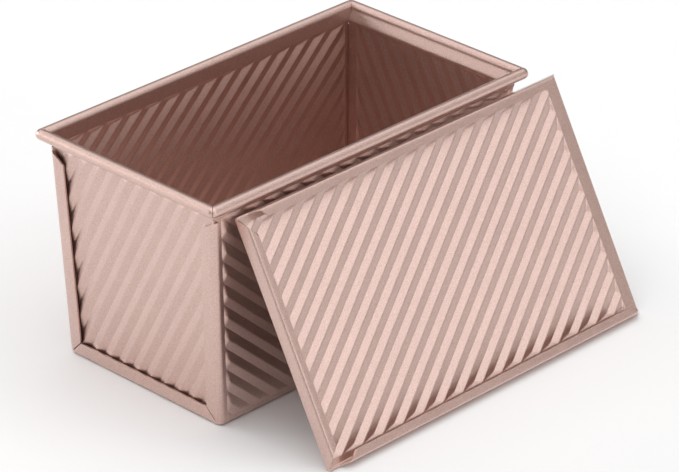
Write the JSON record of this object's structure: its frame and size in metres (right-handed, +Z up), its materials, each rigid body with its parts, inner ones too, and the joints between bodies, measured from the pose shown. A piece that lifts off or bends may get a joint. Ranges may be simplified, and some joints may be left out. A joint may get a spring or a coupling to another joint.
{
  "type": "pullman loaf pan",
  "caption": "Corrugated rectangular loaf pan with folded ends and a wired rolled rim, and a ribbed slide-on lid that leans on its long side.",
  "frame": {"origin": "centre of the pan's base, on the plane that the pan stands on", "axes": "+X along the pan towards its right end, +Y towards its back wall, away from the leaning lid, +Z up"},
  "size_m": [0.2207, 0.1743, 0.114],
  "materials": {
    "coated_sheet": "satin champagne coloured non-stick coating with a fine sparkle, on sheet metal",
    "wire": "drawn steel wire, hidden inside the rolled rim"
  },
  "bodies": {
    "pan": {"trough": "coated_sheet", "left_end_plate": "coated_sheet", "right_end_plate": "coated_sheet", "rim_wire": "wire"},
    "lid": {"lid": "coated_sheet"}
  },
  "joints": [
    {"name": "lid_slide", "type": "slide", "parent": "pan", "child": "lid", "axis": [-1, 0, 0], "range_m": [0, 0.205]}
  ]
}
